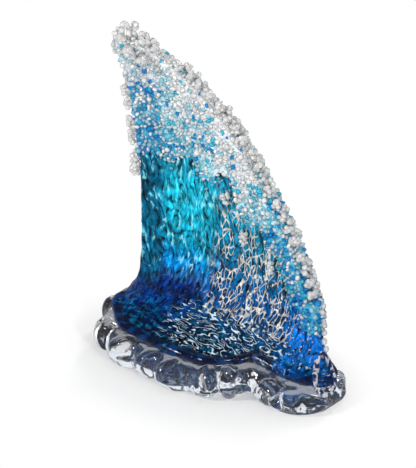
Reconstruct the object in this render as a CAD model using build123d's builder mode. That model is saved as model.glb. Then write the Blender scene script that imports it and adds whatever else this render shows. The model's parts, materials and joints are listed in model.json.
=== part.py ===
from build123d import *
import os
from math import exp, pi, radians, sin, tan

# A breaking wave sculpted from hot glass, in millimetres.
# +Z is up. X runs along the wave, from its tall end at the left to its low end at the right, and Y runs to the
# back, so that the hollow face of the wave looks along -Y. Lengths along X start at the left end of the foot,
# and lengths along Y start at the line of the wall. At the end every piece is moved so that the origin is the
# middle of the resting plane.
# The wave is one flowing form, cut into the layers that it was gathered from: a clear base, a cobalt layer, the
# coloured wall and the foam of crushed glass on its crest. A thick clear rim ruffles round the foot.

# Foot
foot_length = 304.0
foot_reach = 80.0
foot_height = 29.0
foot_slope = 2.6

# Wall
wall_height = 306.0
wall_thickness = 18.0
hollow_depth = 15.0
left_curl = 20.0
left_curl_width = 38.0
crest_lean = 24.0

# Swell, where the front of the foot lifts off the table over a low arch
swell_from_end = 90.0
swell_width = 34.0
swell_rise = 10.0
arch_width = 104.0
arch_rise = 10.0
arch_depth = 34.0

swell_place = foot_length - swell_from_end

# Layers
cobalt_height = 8.0
foam_depth = 3.0
overrun = 12.0

# Clear ruffled rim
rim_embed = 9.5
rim_drop = 1.5
lobe_reach = 30.0

# Crushed glass in clusters
chip_size = 5.6
tip_chip_size = 7.4
drip_chip_size = 4.8
chip_gap = 0.25

# Clear loop that runs down over the low end of the foot
loop_length = 40.0
loop_width = 17.0
loop_height = 6.5

# The foot's reach in front of the wall, at stations along each level
station_shares = (0.0, 0.13, 0.28, 0.45, 0.62, 0.78, 0.91, 1.0)
reach_shares = (0.10, 0.76, 0.98, 1.0, 0.96, 0.65, 0.45, 0.14)

# Corners of the flat facets along each flowing line, closer together at the curled left end
facet_shares = (0.0, 0.03, 0.07, 0.12, 0.18, 0.25, 0.33, 0.41, 0.50, 0.59, 0.68, 0.77, 0.85, 0.93, 1.0)

# Levels of the foot and of the wall, each as a share of its own height:
# height, left end, right end, lean, spread of the foot, thickness, tilt, slant of the right end
foot_shares = (
    (0.00, 0.034, 0.910, 0.00, 0.92, 0.80, 0.0, 1.0),
    (0.45, 0.022, 0.926, 0.00, 0.99, 0.90, 0.5, 1.0),
    (1.00, 0.022, 0.926, 0.00, 1.00, 0.90, 1.0, 1.0),
)
wall_shares = (
    (0.022, 0.040, 0.912, 0.00, 0.88, 0.92, 1.0, 1.0),
    (0.048, 0.070, 0.886, 0.00, 0.67, 0.94, 1.0, 0.9),
    (0.088, 0.100, 0.860, 0.00, 0.43, 0.96, 0.7, 0.7),
    (0.145, 0.122, 0.840, 0.00, 0.22, 1.00, 0.4, 0.4),
    (0.235, 0.136, 0.822, 0.00, 0.07, 1.00, 0.1, 0.2),
    (0.360, 0.140, 0.810, 0.00, 0.00, 1.00, 0.0, 0.0),
    (0.600, 0.140, 0.810, 0.00, 0.00, 1.00, 0.0, 0.0),
    (0.760, 0.134, 0.780, 0.16, 0.00, 0.84, 0.0, 0.0),
    (0.880, 0.126, 0.760, 0.44, 0.00, 0.66, 0.0, 0.0),
    (1.000, 0.122, 0.740, 1.00, 0.00, 0.48, 0.0, 0.0),
)

# Crest line of the wall, from the low end up to the tip, as shares of the foot's length and the wall's height
crest_shares = (
    (0.800, 0.200), (0.752, 0.300), (0.694, 0.400), (0.628, 0.480), (0.560, 0.570), (0.505, 0.650),
    (0.440, 0.730), (0.352, 0.820), (0.252, 0.905), (0.180, 0.970), (0.126, 1.020),
)

# Lower edge of the foam on the wall, from the left, as the same shares
foam_edge_shares = (
    (0.100, 0.550), (0.160, 0.600), (0.220, 0.560), (0.270, 0.590), (0.305, 0.590), (0.340, 0.520),
    (0.385, 0.530), (0.420, 0.575), (0.465, 0.550), (0.500, 0.450), (0.540, 0.400), (0.585, 0.430),
    (0.630, 0.350), (0.680, 0.340), (0.720, 0.240), (0.760, 0.230), (0.790, 0.130), (0.830, 0.120),
)

# Round the foot, the pinches between the lobes as shares of the way round, and how far each lobe reaches
pinch_shares = (-0.030, 0.044, 0.106, 0.165, 0.215, 0.279, 0.332, 0.371, 0.415, 0.453, 0.500, 0.547,
                0.625, 0.706, 0.782, 0.853, 0.919, 0.970)
lobe_shares = (0.62, 0.80, 0.72, 0.78, 1.00, 0.86, 0.62, 0.46, 0.66, 0.78, 0.40,
               0.30, 0.36, 0.32, 0.38, 0.34, 0.44)

# A lobe's swelling from pinch to pinch, and the places on its section as shares of its reach and height
swelling_shares = (0.56, 1.00, 0.96)
section_shares = ((0.70, 0.00), (1.00, 0.34), (0.86, 0.72), (0.42, 0.97))


def wall_line(x, left, spread):
    """The plan line of the wall's face: hollow along its length, and curled forward at its left end."""
    along = min(1.0, max(0.0, x / foot_length))
    near_left = max(0.0, 1 - (x - left) / left_curl_width)
    return hollow_depth * sin(pi * along) - left_curl * (1 - spread) * near_left**2


def level_at(z):
    """The shares of the wave at any height, between the levels below and above it."""
    rows = [(foot_height * row[0], row) for row in foot_shares]
    rows += [(foot_height + wall_height * row[0], row) for row in wall_shares]
    for (low, below), (high, above) in zip(rows, rows[1:]):
        if z <= high:
            break
    part = (z - low) / (high - low)
    return [a + (b - a) * part for a, b in zip(below, above)]


def wall_middle(x, z):
    """The middle of the wall's thickness at a place along it and a height."""
    row = level_at(z)
    line = wall_line(x, row[1] * foot_length, row[4]) - row[3] * crest_lean
    return line + row[5] * wall_thickness / 2


def shore_height(x):
    """Height of the edge of the coloured glass above the table, with the swell at the front of the foot."""
    slope = tan(radians(foot_slope)) * (x - foot_length / 2)
    return foot_height - slope + swell_rise * exp(-(((x - swell_place) / swell_width) ** 2))


def crest_points(lift):
    """The crest line as points in the XZ plane, raised by the lift."""
    return [(foot_length * a, foot_height + wall_height * h + lift) for a, h in crest_shares]


def end_arc(start, end, bulge_share):
    """The middle point of a rounded end between the two face lines, bulging outwards."""
    across = (end[0] - start[0], end[1] - start[1])
    middle = ((start[0] + end[0]) / 2, (start[1] + end[1]) / 2)
    return (middle[0] + across[1] * bulge_share, middle[1] - across[0] * bulge_share)


def level_face(height, row, outwards=0.0, smooth=False):
    """One level of the wave as a closed outline, moved outwards on both faces. Its flowing lines are smooth, or
    are flat facets with their corners on the smooth lines."""
    share, left_end, right_end, lean, spread, thickness, tilt, slant = row
    end_shares = (0.30, 0.22)
    left = left_end * foot_length
    right = right_end * foot_length
    middle = foot_length / 2
    xs = [left + (right - left) * s for s in station_shares]
    faces = [wall_line(x, left, spread) - lean * crest_lean for x in xs]
    front = [(x - middle, y - spread * foot_reach * r - outwards) for x, y, r in zip(xs, faces, reach_shares)]
    back = [(x - middle, y + thickness * wall_thickness + outwards) for x, y in zip(xs, faces)]
    back = [(x - slant * wall_thickness * s**4, y) for (x, y), s in zip(back, station_shares)]
    rise = tan(radians(foot_slope * tilt))
    plane = Plane((middle, 0, height), x_dir=(1, 0, -rise), z_dir=(rise, 0, 1))
    front_line = Edge.make_spline(front, parameters=station_shares)
    back_line = Edge.make_spline(back[::-1], parameters=[1 - s for s in station_shares[::-1]])
    right_end = end_arc(front[-1], back[-1], end_shares[1])
    left_end = end_arc(back[0], front[0], end_shares[0])
    with BuildSketch(plane) as outline:
        with BuildLine():
            if smooth:
                add(front_line)
                ThreePointArc(front[-1], right_end, back[-1])
                add(back_line)
                ThreePointArc(back[0], left_end, front[0])
            else:
                Polyline(*[front_line.position_at(s) for s in facet_shares], right_end,
                         *[back_line.position_at(1 - s) for s in facet_shares[::-1]], left_end, front[0])
        make_face()
    return outline.sketch


def flowing_form(outwards=0.0):
    """The whole form of the wave before its crest is cut, or a copy that is a little larger all round."""
    sections = [level_face(foot_height * row[0], row, outwards) for row in foot_shares]
    sections += [level_face(foot_height + wall_height * row[0], row, outwards) for row in wall_shares]
    with BuildPart() as form:
        loft(sections=sections, ruled=True)
    return form.part


def block_under(points, floor):
    """A block drawn in the XZ plane, from the floor to a line of points, as deep as the whole wave."""
    depth = foot_reach + wall_thickness + crest_lean + overrun
    with BuildPart() as block:
        with BuildSketch(Plane.XZ.offset(-depth)):
            with BuildLine():
                Polyline(*points, (points[-1][0], floor), (points[0][0], floor), points[0])
            make_face()
        extrude(amount=2 * depth)
    return block.part


def shore_block(lift):
    """Everything under the shoreline, raised by the lift."""
    count = 18
    xs = [-overrun + (foot_length + 2 * overrun) * i / (count - 1) for i in range(count)]
    return block_under([(x, shore_height(x) + lift) for x in xs], -overrun)


def crest_block(lift):
    """Everything under the crest line, with the line carried on to both sides past the wave."""
    points = crest_points(lift)
    left = points[-1][0] - 2 * overrun
    right = foot_length + overrun
    return block_under([(right, points[0][1])] + points + [(left, points[-1][1])], -overrun)


def foam_block():
    """Everything above the lower edge of the foam."""
    top = foot_height + wall_height + 2 * overrun
    points = [(foot_length * a, foot_height + wall_height * h) for a, h in foam_edge_shares]
    points = [(-overrun, points[0][1])] + points + [(foot_length + overrun, points[-1][1])]
    return block_under(points, top)


def chip(place, outward, size):
    """A faceted bead of crushed glass that stands on the place, with its long axis pointing outwards."""
    height_share = 0.85
    bevel_share = 0.38
    with BuildPart() as bead:
        with BuildSketch(Plane(place, z_dir=outward)):
            RegularPolygon(radius=size, side_count=6)
        extrude(amount=2 * size * height_share)
        ends = bead.edges().filter_by(lambda edge: abs(edge.tangent_at(0).dot(outward)) < 0.5)
        chamfer(ends, length=size * bevel_share)
    return bead.part


def chip_on(form, place, towards, size, gap=chip_gap):
    """A bead seated on a form where a straight line through the place first meets it, square to its surface."""
    line = Vector(*towards).normalized()
    start = Vector(*place) - line * (foot_length + wall_height)
    hit, outward = form.find_intersection_points(Axis(start, line))[0]
    if outward.dot(line) > 0:
        outward = outward * -1
    return chip(hit + outward * gap, outward, size)


# The form of the wave, and the same form a little larger for the foam
crest = crest_block(0)
with BuildPart() as wave:
    add(flowing_form())
    add(crest, mode=Mode.INTERSECT)

with BuildPart() as crust:
    add(flowing_form(foam_depth))
    add(crest_block(foam_depth), mode=Mode.INTERSECT)

# The low arch under the swell, open at the front
with BuildPart() as arch:
    arch_left = swell_place - arch_width / 2
    front_depth = foot_reach + lobe_reach + overrun
    with BuildSketch(Plane.XZ.offset(front_depth)):
        with BuildLine():
            ThreePointArc((arch_left, 0), (arch_left + arch_width / 2, arch_rise), (arch_left + arch_width, 0))
            Polyline((arch_left + arch_width, 0), (arch_left + arch_width, -overrun), (arch_left, -overrun),
                     (arch_left, 0))
        make_face()
    extrude(amount=arch_depth - front_depth)

# Layers of the wave
with BuildPart() as clear_base:
    add(wave.part)
    add(shore_block(0), mode=Mode.INTERSECT)
    add(arch.part, mode=Mode.SUBTRACT)

with BuildPart() as cobalt_layer:
    add(wave.part)
    add(shore_block(cobalt_height), mode=Mode.INTERSECT)
    add(shore_block(0), mode=Mode.SUBTRACT)

foam_region = foam_block()
with BuildPart() as coloured_wall:
    add(wave.part)
    add(shore_block(cobalt_height), mode=Mode.SUBTRACT)
    add(foam_region, mode=Mode.SUBTRACT)

with BuildPart() as foam_crest:
    add(crust.part)
    add(foam_region, mode=Mode.INTERSECT)

# Clear ruffled rim, in stretches of two or three lobes
foot_edge = level_face(foot_height * foot_shares[1][0], foot_shares[1], smooth=True).wire()


def rim_section(share, reach):
    """One upright section of the rim, square to the edge of the foot."""
    length = foot_edge.length * (share % 1)
    place = foot_edge.position_at(length, PositionMode.LENGTH)
    along = foot_edge.tangent_at(length, PositionMode.LENGTH)
    outward = Vector(along.Y, -along.X, 0).normalized()
    height = shore_height(place.X) - rim_drop
    points = [(a * reach, h * height) for a, h in section_shares] + [(-rim_embed, height)]
    plane = Plane((place.X, place.Y, 0), x_dir=outward, z_dir=outward.cross(Vector(0, 0, 1)))
    with BuildSketch(plane) as section:
        with BuildLine():
            Polyline((-rim_embed, 0), *points, (-rim_embed, 0))
        make_face()
    return section.sketch


def rim_stretch(first, last):
    """The lobes from the first to the last, joined at their pinches."""
    sections = []
    for i in range(first, last + 1):
        start, end = pinch_shares[i], pinch_shares[i + 1]
        for k, swelling in enumerate(swelling_shares):
            reach = lobe_shares[i]
            if k == 0:
                reach = (lobe_shares[i] + lobe_shares[i - 1]) / 2
            share = start + (end - start) * k / len(swelling_shares)
            sections.append(rim_section(share, reach * swelling * lobe_reach))
    after = (lobe_shares[last] + lobe_shares[(last + 1) % len(lobe_shares)]) / 2
    sections.append(rim_section(pinch_shares[last + 1], after * swelling_shares[0] * lobe_reach))
    with BuildPart() as stretch:
        loft(sections=sections, ruled=True)
    return stretch.part


rim_lobes = (("rim_left", 0, 2), ("rim_front", 3, 7), ("rim_right", 8, 11), ("rim_back", 12, 16))
rim_pieces = {}
for name, first, last in rim_lobes:
    lobes = rim_stretch(first, last)
    with BuildPart() as stretch:
        add(lobes)
        add(wave.part, mode=Mode.SUBTRACT)
        if name in ("rim_front", "rim_right"):
            add(arch.part, mode=Mode.SUBTRACT)
    rim_pieces[name] = stretch


# Runs of clear beads along the crest, one after another in a front and a back row. The beads of a run touch, and
# a space of about a bead is left between two runs.
bead_runs = 5
bead_step_share = 1.15
row_share = 0.55
size_spread_share = 0.04
run_space_share = 1.5
crest_start_share = 0.02
crest_span_share = 0.86
down_to_crest = (-0.8, 0, -0.6)
crest_line = Wire.make_polygon([Vector(x, 0, z) for x, z in crest_points(foam_depth)], close=False)
run_length = crest_line.length * crest_span_share / bead_runs
beads_in_run = int((run_length - run_space_share * chip_size) / (bead_step_share * chip_size))
crest_bead_pieces = {}
for run in range(bead_runs):
    chips = []
    for k in range(beads_in_run):
        length = crest_line.length * crest_start_share + run * run_length + k * bead_step_share * chip_size
        place = crest_line.position_at(length, PositionMode.LENGTH)
        side = 1 if k % 2 else -1
        y = wall_middle(place.X, place.Z) + side * row_share * chip_size
        size = chip_size * (1 + size_spread_share * sin(k + run * beads_in_run))
        chips.append(chip_on(crust.part, (place.X, y, place.Z), down_to_crest, size))
    with BuildPart() as beads:
        add(chips)
    crest_bead_pieces["crest_beads_" + str(run + 1)] = beads

# Cluster of clear lumps on the tip: on its top, its left side and its front, and a second tier above them
tip_x = foot_length * wall_shares[-1][1]
tip_z = foot_height + wall_height
tip_top_shares = (0.1, 1.0, 2.0, 2.9)
tip_side_shares = (1.0, 2.3)
tip_small_share = 0.8
tip_tier_share = 1.2
tip_tier_step_share = 0.3
small_tip_chip = tip_chip_size * tip_small_share
tip_chips = []
for share in tip_top_shares:
    x = tip_x + share * tip_chip_size
    tip_chips.append(chip_on(crust.part, (x, wall_middle(x, tip_z), tip_z), (0, 0, -1), tip_chip_size))
for share in tip_side_shares:
    z = tip_z - share * tip_chip_size
    side_y = wall_middle(level_at(z)[1] * foot_length, z)
    tip_chips.append(chip_on(crust.part, (0, side_y, z), (1, 0, 0), small_tip_chip))
    front_place = (tip_x + share * tip_chip_size, 0, z)
    tip_chips.append(chip_on(crust.part, front_place, (0, 1, 0), small_tip_chip, chip_gap * 2))
for share in tip_top_shares[:2]:
    x = tip_x + (share + tip_tier_step_share) * tip_chip_size
    place = Vector(x, wall_middle(x, tip_z), tip_z + tip_chip_size * tip_tier_share)
    tip_chips.append(chip(place, Vector(0, 0, 1), small_tip_chip))
with BuildPart() as tip_cluster:
    add(tip_chips)

# Drips of clear beads down the left edge: each one's height on the wall and its beads, in two rows
drip_shares = ((0.820, 4), (0.705, 5), (0.575, 4))
drip_step_share = 1.25
drip_row_shares = (0.3, 0.1)
drip_size_shares = (0.95, 1.1)
left_drip_pieces = {}
for number, (height_share, count) in enumerate(drip_shares):
    chips = []
    for k in range(count):
        z = foot_height + wall_height * height_share - drip_chip_size * drip_step_share * k
        left = level_at(z)[1] * foot_length
        y = wall_middle(left, z) - wall_thickness * drip_row_shares[k % 2]
        chips.append(chip_on(crust.part, (0, y, z), (1, 0, 0), drip_chip_size * drip_size_shares[k % 2]))
    with BuildPart() as drip:
        add(chips)
    left_drip_pieces["left_drip_" + str(number + 1)] = drip

# Drips of foam down the face, as shares of the foot's length and the wall's height, each of two beads
face_drip_shares = ((0.445, 0.490), (0.525, 0.365), (0.648, 0.300))
face_size_shares = (0.90, 0.75)
face_chips = []
for along_share, height_share in face_drip_shares:
    for k, size_share in enumerate(face_size_shares):
        place = (foot_length * along_share, 0, foot_height + wall_height * height_share - chip_size * k)
        face_chips.append(chip_on(coloured_wall.part, place, (0, 1, 0), chip_size * size_share))
with BuildPart() as face_drips:
    add(face_chips)

# Clear loop at the low end, half sunk in the curve of the foot and cut to fit it
loop_shares = (0.870, 0.055)
loop_towards = Vector(-0.30, 0.85, -0.40).normalized()
loop_outline_shares = ((0.0, -0.5), (0.38, -0.38), (0.5, -0.08), (0.34, 0.26), (0.08, 0.5), (-0.08, 0.5),
                       (-0.34, 0.26), (-0.5, -0.08), (-0.38, -0.38), (0.0, -0.5))
loop_place = Vector(foot_length * loop_shares[0], 0, foot_height + wall_height * loop_shares[1])
loop_start = loop_place - loop_towards * foot_length
loop_hit = wave.part.find_intersection_points(Axis(loop_start, loop_towards))[0][0]
loop_side = loop_towards.cross(Vector(0, 0, 1)).normalized()
loop_plane = Plane(loop_hit + loop_towards * loop_height / 2, x_dir=loop_side, z_dir=loop_towards * -1)
with BuildPart() as corner_loop:
    with BuildSketch(loop_plane):
        with BuildLine():
            Polyline(*[(a * loop_width, h * loop_length) for a, h in loop_outline_shares])
        make_face()
    extrude(amount=loop_height)
    add(wave.part, mode=Mode.SUBTRACT)

# Export
os.makedirs("parts", exist_ok=True)
pieces = {"clear_base": clear_base, "cobalt_layer": cobalt_layer, "coloured_wall": coloured_wall,
          "foam_crest": foam_crest}
pieces.update(rim_pieces)
pieces.update(crest_bead_pieces)
pieces.update(left_drip_pieces)
pieces.update({"tip_cluster": tip_cluster, "face_drips": face_drips, "corner_loop": corner_loop})
boxes = [piece.part.bounding_box() for piece in pieces.values()]
middle_x = (min(b.min.X for b in boxes) + max(b.max.X for b in boxes)) / 2
middle_y = (min(b.min.Y for b in boxes) + max(b.max.Y for b in boxes)) / 2
print("middle", middle_x, middle_y)
for name, piece in pieces.items():
    placed = piece.part.moved(Location((-middle_x, -middle_y, 0)))
    placed.label = name
    print(name, placed.is_valid, len(placed.solids()), round(placed.volume))
    export_step(placed, "parts/" + name + ".step")
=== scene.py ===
# %% [markdown]
# The object is a breaking wave sculpted from hot glass. A tall curling wall of streaked blue glass rises
# from a dark cobalt edge. Its crest is covered with a foam of crushed glass, and a thick clear foot ruffles
# round it. The solids of the sculpture are loaded first. They give every piece its place and its size, in
# metres.

# %% Load the solids
import json
import math

import bpy
import numpy as np
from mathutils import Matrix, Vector, noise
from mathutils.bvhtree import BVHTree

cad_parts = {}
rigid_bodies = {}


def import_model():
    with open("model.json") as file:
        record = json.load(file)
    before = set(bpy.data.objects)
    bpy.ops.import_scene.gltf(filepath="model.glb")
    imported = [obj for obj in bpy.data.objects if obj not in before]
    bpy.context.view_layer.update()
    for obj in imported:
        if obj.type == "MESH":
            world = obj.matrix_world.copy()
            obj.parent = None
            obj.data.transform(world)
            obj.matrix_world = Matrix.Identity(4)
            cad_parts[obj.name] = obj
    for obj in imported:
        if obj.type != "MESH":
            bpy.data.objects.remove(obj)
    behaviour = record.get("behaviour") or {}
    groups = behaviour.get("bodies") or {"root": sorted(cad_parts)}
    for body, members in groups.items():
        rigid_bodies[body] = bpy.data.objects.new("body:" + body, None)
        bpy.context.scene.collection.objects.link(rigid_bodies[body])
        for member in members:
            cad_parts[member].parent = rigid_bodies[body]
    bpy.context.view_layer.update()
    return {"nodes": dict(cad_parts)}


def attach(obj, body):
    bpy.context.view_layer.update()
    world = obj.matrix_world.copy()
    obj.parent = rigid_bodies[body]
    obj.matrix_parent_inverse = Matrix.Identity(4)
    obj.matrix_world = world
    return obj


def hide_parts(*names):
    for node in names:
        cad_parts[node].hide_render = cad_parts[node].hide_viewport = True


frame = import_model()
MM = 0.001

# %% [markdown]
# The camera stands above the sculpture and to the right of its middle, so that the hollow face and the right
# end of the foot both show. A long lens keeps the wall's edges nearly parallel. A small shift puts the
# sculpture where the picture has it.

# %% Camera
VIEW_AZIMUTH = math.radians(39.4)
VIEW_ELEVATION = math.radians(25)
VIEW_DISTANCE = 2.3
VIEW_AIM = Vector((23.15, 26.9, 150)) * MM
SENSOR = 36
PICTURE_HEIGHT = 468
PICTURE_SHIFT = 34
ahead = Vector((-math.sin(VIEW_AZIMUTH) * math.cos(VIEW_ELEVATION),
                math.cos(VIEW_AZIMUTH) * math.cos(VIEW_ELEVATION),
                -math.sin(VIEW_ELEVATION)))
camera_data = bpy.data.cameras.new("long_lens")
camera_data.sensor_width = SENSOR
camera_data.lens = SENSOR * VIEW_DISTANCE / (PICTURE_HEIGHT * MM)
camera_data.shift_x = -PICTURE_SHIFT / PICTURE_HEIGHT
camera = bpy.data.objects.new("camera", camera_data)
bpy.context.scene.collection.objects.link(camera)
camera.location = VIEW_AIM - ahead * VIEW_DISTANCE
camera.rotation_euler = ahead.to_track_quat("-Z", "Y").to_euler()
bpy.context.scene.camera = camera
print("camera at", [round(c, 3) for c in camera.location], "lens", round(camera_data.lens, 1))

# %% [markdown]
# Glass shows its surroundings, so the studio matters as much as the material. Three soft lamps give small
# bright highlights. The world is a light tent. It is white where it is looked at, straight or through glass,
# softer where it lights the sculpture, and dim and bluish where glass mirrors it, so that the gloss stays on
# the lamps. Two dark cards beside the picture come last, because only a dark edge beside a bright one draws
# the form of clear glass.

# %% Soft lamps
def lamp(name, place, target, side, power):
    """A square soft lamp that points at a target."""
    data = bpy.data.lights.new(name, "AREA")
    data.size = side
    data.energy = power
    lamp_object = bpy.data.objects.new(name, data)
    bpy.context.scene.collection.objects.link(lamp_object)
    lamp_object.location = place
    lamp_object.rotation_euler = (Vector(target) - Vector(place)).to_track_quat("-Z", "Y").to_euler()


middle = (0, 0, 0.15)
lamp("key_lamp", (-0.7, -1.9, 1.35), middle, 0.34, 27)
lamp("side_lamp", (1.8, -0.9, 1.0), middle, 0.24, 13)
lamp("back_lamp", (-0.3, 1.9, 1.5), middle, 0.50, 12)

# %% The light tent
world = bpy.data.worlds.new("light_tent")
bpy.context.scene.world = world
world.use_nodes = True
tent = world.node_tree
tent.nodes.clear()


def sky(colour, strength):
    """A background of one colour."""
    background = tent.nodes.new("ShaderNodeBackground")
    background.inputs["Color"].default_value = (*colour, 1)
    background.inputs["Strength"].default_value = strength
    return background.outputs[0]


def choice(share, first, second):
    """The first background where the share is 0, and the second where it is 1."""
    blend = tent.nodes.new("ShaderNodeMixShader")
    for source, socket in zip((share, first, second), blend.inputs):
        tent.links.new(source, socket)
    return blend.outputs[0]


rays = tent.nodes.new("ShaderNodeLightPath")
looked_at = tent.nodes.new("ShaderNodeMath")
looked_at.operation = "MAXIMUM"
tent.links.new(rays.outputs["Is Camera Ray"], looked_at.inputs[0])
tent.links.new(rays.outputs["Is Transmission Ray"], looked_at.inputs[1])
lighting_sky = sky((1.0, 0.995, 0.985), 0.55)
mirrored_sky = sky((0.8, 0.9, 1.0), 0.12)
white_sky = sky((1, 1, 1), 1.0)
unseen_sky = choice(rays.outputs["Is Glossy Ray"], lighting_sky, mirrored_sky)
sky_out = tent.nodes.new("ShaderNodeOutputWorld")
tent.links.new(choice(looked_at.outputs[0], unseen_sky, white_sky), sky_out.inputs["Surface"])
bpy.context.scene.view_settings.view_transform = "Standard"
print("nodes of the light tent:", len(tent.nodes))

# %% [markdown]
# The materials are built from noise and cell patterns that read the place of each point in millimetres.
# Written as plain sums they are easier to follow than as a tree of nodes. So one small class stands for a
# socket, and its operators add the Math nodes. A second class holds a material and adds every other node.

# %% Shader sums
class Value:
    """One number socket of a material. Sums on it add Math nodes."""

    def __init__(self, finish, socket):
        self.finish = finish
        self.socket = socket

    def maths(self, operation, *others, first=None):
        values = [self if first is None else first, *others]
        return self.finish.node("ShaderNodeMath", {"operation": operation}, dict(enumerate(values)))

    def __add__(self, other):
        return self.maths("ADD", other)

    def __radd__(self, other):
        return self.maths("ADD", other)

    def __sub__(self, other):
        return self.maths("SUBTRACT", other)

    def __rsub__(self, other):
        return self.maths("SUBTRACT", self, first=other)

    def __mul__(self, other):
        return self.maths("MULTIPLY", other)

    def __rmul__(self, other):
        return self.maths("MULTIPLY", other)

    def __truediv__(self, other):
        return self.maths("DIVIDE", other)

    def __pow__(self, other):
        return self.maths("POWER", other)

    def most(self, other):
        return self.maths("MAXIMUM", other)


print("sums on a value:", [name for name, made in vars(Value).items() if callable(made)])

# %% A material and its patterns
class Finish:
    """A material of the sculpture: a Principled shader and the patterns that feed it."""

    def __init__(self, name, **constants):
        self.material = bpy.data.materials.new(name)
        self.material.use_nodes = True
        self.tree = self.material.node_tree
        self.shader = self.tree.nodes["Principled BSDF"]
        for socket_name, value in constants.items():
            self.shader.inputs[socket_name.replace("_", " ")].default_value = value

    def node(self, kind, settings=None, values=None, output=0):
        """Adds a node, sets it, joins its sockets, and gives one of its outputs."""
        new = self.tree.nodes.new(kind)
        for setting, value in (settings or {}).items():
            if setting == "stops":
                self.set_stops(new.color_ramp, value)
            else:
                setattr(new, setting, value)
        for socket, value in (values or {}).items():
            self.join(value, new.inputs[socket])
        return Value(self, new.outputs[output])

    def set_stops(self, ramp, stops):
        """Gives a colour ramp its stops, each a place and a colour."""
        while len(ramp.elements) < len(stops):
            ramp.elements.new(0.5)
        for element, (place, colour) in zip(ramp.elements, stops):
            element.position = place
            element.color = (*colour, 1)

    def join(self, value, socket):
        """Links a value to a socket, or sets the socket to a number or a colour."""
        if isinstance(value, Value):
            self.tree.links.new(value.socket, socket)
        elif hasattr(value, "__len__") and len(value) == 3 and socket.type == "RGBA":
            socket.default_value = (*value, 1)
        else:
            socket.default_value = value

    def place(self):
        """The place of each point in millimetres, as three values."""
        point = self.node("ShaderNodeTexCoord", output="Object")
        parts = self.tree.nodes.new("ShaderNodeSeparateXYZ")
        self.tree.links.new(point.socket, parts.inputs[0])
        return [Value(self, parts.outputs[i]) * 1000 for i in range(3)]

    def vector(self, x, y, z=0.0):
        return self.node("ShaderNodeCombineXYZ", {}, {"X": x, "Y": y, "Z": z})

    def cloud(self, vector, detail=2.0, roughness=0.5):
        """Soft noise from 0 to 1, one lump to each unit of the vector."""
        return self.node("ShaderNodeTexNoise", {}, {"Vector": vector, "Scale": 1.0, "Detail": detail,
                                                    "Roughness": roughness}, "Fac")

    def cells(self, vector, feature="F1", output="Distance"):
        """A pattern of cells, one to each unit of the vector."""
        return self.node("ShaderNodeTexVoronoi", {"feature": feature},
                         {"Vector": vector, "Scale": 1.0}, output)

    def step(self, value, low, high):
        """0 below the low value and 1 above the high one, with a smooth rise between them."""
        return self.node("ShaderNodeMapRange", {"interpolation_type": "SMOOTHSTEP"},
                         {"Value": value, "From Min": low, "From Max": high, "To Min": 0.0, "To Max": 1.0})

    def between(self, value, rise, fall):
        """1 from the end of the rise to the start of the fall, and 0 outside them."""
        return self.step(value, *rise) * (1 - self.step(value, *fall))

    def mix(self, share, first, second):
        """The first colour where the share is 0, and the second where it is 1."""
        return self.node("ShaderNodeMix", {"data_type": "RGBA"}, {0: share, 6: first, 7: second}, 2)

    def shade(self, colour, share):
        """The colour, made darker or brighter by a value."""
        grey = self.node("ShaderNodeCombineColor", {}, {0: share, 1: share, 2: share})
        return self.node("ShaderNodeMix", {"data_type": "RGBA", "blend_type": "MULTIPLY"},
                         {0: 1.0, 6: colour, 7: grey}, 2)

    def ramp(self, value, stops):
        return self.node("ShaderNodeValToRGB", {"stops": stops}, {0: value}, "Color")

    def relief(self, height, depth_mm, strength=1.0):
        """Turns a height pattern into small bumps of a depth in millimetres."""
        bump = self.node("ShaderNodeBump", {}, {"Height": height, "Strength": strength,
                                                "Distance": depth_mm * MM}, "Normal")
        self.feed("Normal", bump)

    def feed(self, socket_name, value):
        self.join(value, self.shader.inputs[socket_name])


print("patterns and steps of a finish:", [name for name in vars(Finish) if not name.startswith("_")])

# %% [markdown]
# The wave was gathered from several glasses that melted into one another, so its layers have no hard corners
# left. The solids of the layers are copied and joined. A voxel remesh makes one skin of them, and smoothing
# takes the flat facets out. It is how a glassmaker's fire polish works too.

# %% Joining and melting pieces
def pick(*chosen):
    """Selects only the chosen objects, the first of them active."""
    bpy.ops.object.select_all(action="DESELECT")
    for piece in chosen:
        piece.select_set(True)
    bpy.context.view_layer.objects.active = chosen[0]


def copy_of(name, *nodes):
    """One object made from copies of some of the solids."""
    copies = []
    for node in nodes:
        source = frame["nodes"][node]
        piece = bpy.data.objects.new(name, source.data.copy())
        piece.data.materials.clear()
        bpy.context.scene.collection.objects.link(piece)
        copies.append(piece)
    pick(*copies)
    if len(copies) > 1:
        bpy.ops.object.join()
    whole = bpy.context.view_layer.objects.active
    bpy.ops.object.mode_set(mode="EDIT")
    bpy.ops.mesh.select_all(action="SELECT")
    bpy.ops.mesh.remove_doubles(threshold=0.01 * MM)
    bpy.ops.object.mode_set(mode="OBJECT")
    return whole


def melt(piece, voxel, rounds):
    """Makes one smooth skin of a piece."""
    pick(piece)
    remesh = piece.modifiers.new("skin", "REMESH")
    remesh.mode = "VOXEL"
    remesh.voxel_size = voxel * MM
    bpy.ops.object.modifier_apply(modifier="skin")
    smooth = piece.modifiers.new("polish", "SMOOTH")
    smooth.factor = 0.5
    smooth.iterations = rounds
    bpy.ops.object.modifier_apply(modifier="polish")
    bpy.ops.object.shade_smooth()
    print(piece.name, "faces after melting:", len(piece.data.polygons))


def finish_piece(piece, finish):
    """Gives a piece its material and lets it go with the sculpture."""
    piece.data.materials.clear()
    piece.data.materials.append(finish.material)
    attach(piece, "root")


print("solids to copy from:", sorted(frame["nodes"]))

# %% [markdown]
# The edge of the foot is a dark roll of cobalt glass that swelled out over the clear foot under it. It could
# be made of many short tubes, but their joints would show. A closed curve with a round bevel has none. The
# curve's points are found on the solids of the cobalt layer and the base, by looking at them from outside all
# the way round.

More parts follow.
